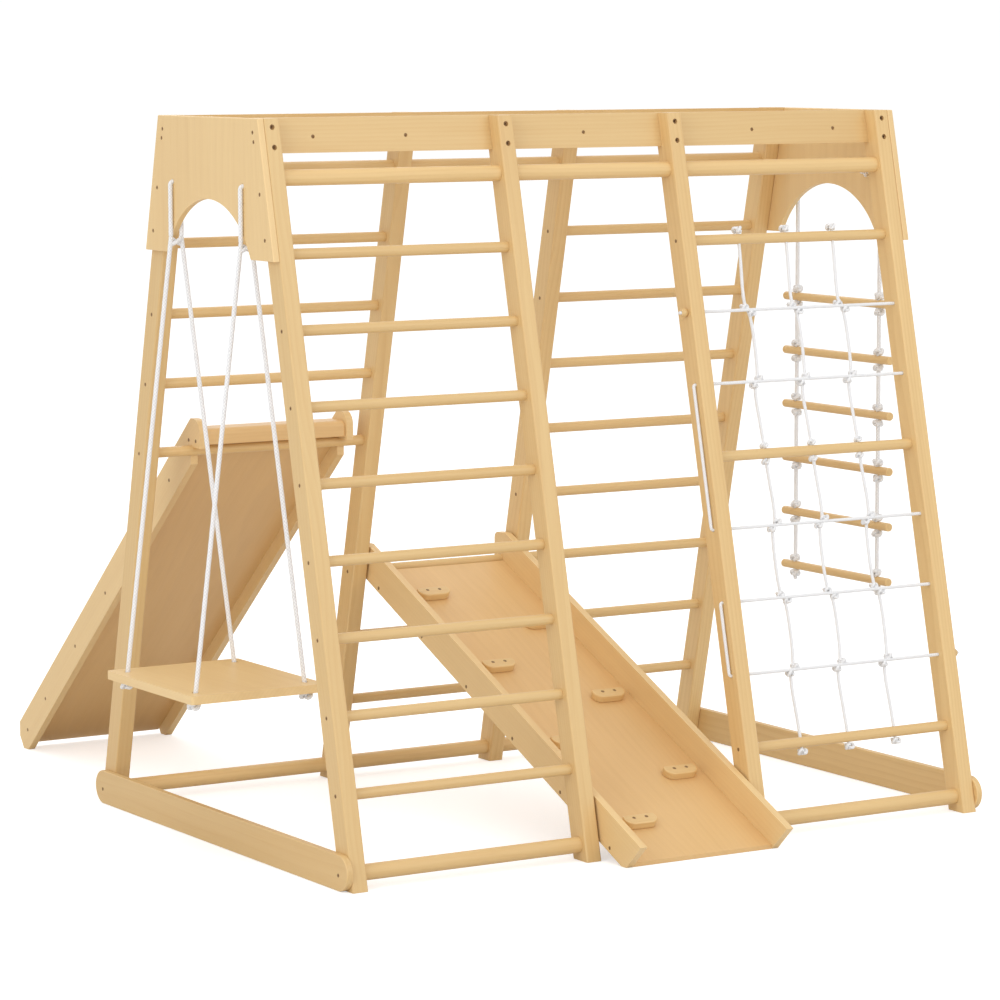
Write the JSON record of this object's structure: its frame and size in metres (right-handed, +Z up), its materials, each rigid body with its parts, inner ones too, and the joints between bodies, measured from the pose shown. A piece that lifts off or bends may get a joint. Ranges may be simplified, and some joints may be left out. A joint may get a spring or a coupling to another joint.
{
  "type": "indoor climbing frame with slide",
  "caption": "Wooden indoor climbing frame for toddlers: A-frame with rungs and overhead bars, hook-on slide and climbing ramp, plank swing, rope ladder and climbing net.",
  "frame": {"origin": "middle of the whole object's footprint box, on the floor", "axes": "+Z up; +X along the frame from the swing's end to the rope ladder's end; +Y towards the slide's foot, -Y towards the climbing ramp's foot"},
  "size_m": [1.487, 1.6686, 1.28],
  "materials": {
    "frame_wood": "pale pine, smooth and clear sealed",
    "round_wood": "turned pale pine, smooth",
    "board_wood": "pale birch board, smooth",
    "rope": "white braided cord",
    "steel": "plated screws, dull"
  },
  "bodies": {
    "frame": {"front_leg_1": "frame_wood", "front_leg_2": "frame_wood", "front_leg_3": "frame_wood", "front_leg_4": "frame_wood", "rear_leg_1": "frame_wood", "rear_leg_2": "frame_wood", "rear_leg_3": "frame_wood", "rear_leg_4": "frame_wood", "arch_panel_left": "board_wood", "arch_panel_right": "board_wood", "base_board_left": "frame_wood", "base_board_right": "frame_wood", "top_rail_front": "frame_wood", "top_rail_rear": "frame_wood", "top_bar_front": "round_wood", "top_bar_rear": "round_wood", "bottom_bar_front_left": "round_wood", "bottom_bar_front_right": "round_wood", "bottom_bar_rear": "round_wood", "rungs_front_left": "round_wood", "rungs_front_right": "round_wood", "rungs_rear_left": "round_wood", "slide_hook_rung": "round_wood", "ramp_hook_rung": "round_wood", "rungs_rear_middle": "round_wood", "rungs_rear_right": "round_wood", "monkey_bars": "round_wood", "leg_bolts": "steel", "insert_nuts": "steel", "rung_screws": "steel", "panel_screws": "steel", "monkey_bar_screws": "steel", "swing_loop_front": "rope", "swing_loop_rear": "rope", "ladder_hanger_front": "rope", "ladder_hanger_rear": "rope", "hanger_knots": "rope", "net_uprights": "rope", "net_lacing": "rope", "net_knots": "rope", "net_beads": "frame_wood"},
    "swing": {"swing_seat": "board_wood", "swing_rope_front": "rope", "swing_rope_rear": "rope", "swing_knots": "rope"},
    "rope_ladder": {"ladder_rungs": "round_wood", "ladder_rope_front": "rope", "ladder_rope_rear": "rope", "ladder_knots": "rope"},
    "slide": {"slide_side_left": "board_wood", "slide_side_right": "board_wood", "slide_bed": "board_wood", "slide_top_block": "frame_wood", "slide_screws": "steel"},
    "ramp": {"ramp_side_left": "board_wood", "ramp_side_right": "board_wood", "ramp_bed": "board_wood", "climbing_holds": "frame_wood", "hold_screws": "steel", "ramp_screws": "steel"}
  },
  "joints": [
    {"name": "swing_swings", "type": "hinge", "parent": "frame", "child": "swing", "pos_m": [-0.612, -0.23981, 1.05932], "axis": [0, 1, 0], "range_deg": [-30, 35]},
    {"name": "ladder_swings", "type": "hinge", "parent": "frame", "child": "rope_ladder", "pos_m": [0.735, -0.23981, 1.146], "axis": [0, -1, 0], "range_deg": [-5, 40]},
    {"name": "slide_lifts", "type": "hinge", "parent": "frame", "child": "slide", "pos_m": [-0.341, 0.06403, 0.667], "axis": [1, 0, 0], "range_deg": [0, 25]},
    {"name": "ramp_lifts", "type": "hinge", "parent": "frame", "child": "ramp", "pos_m": [0.051, 0.12243, 0.411], "axis": [-1, 0, 0], "range_deg": [0, 8]}
  ]
}
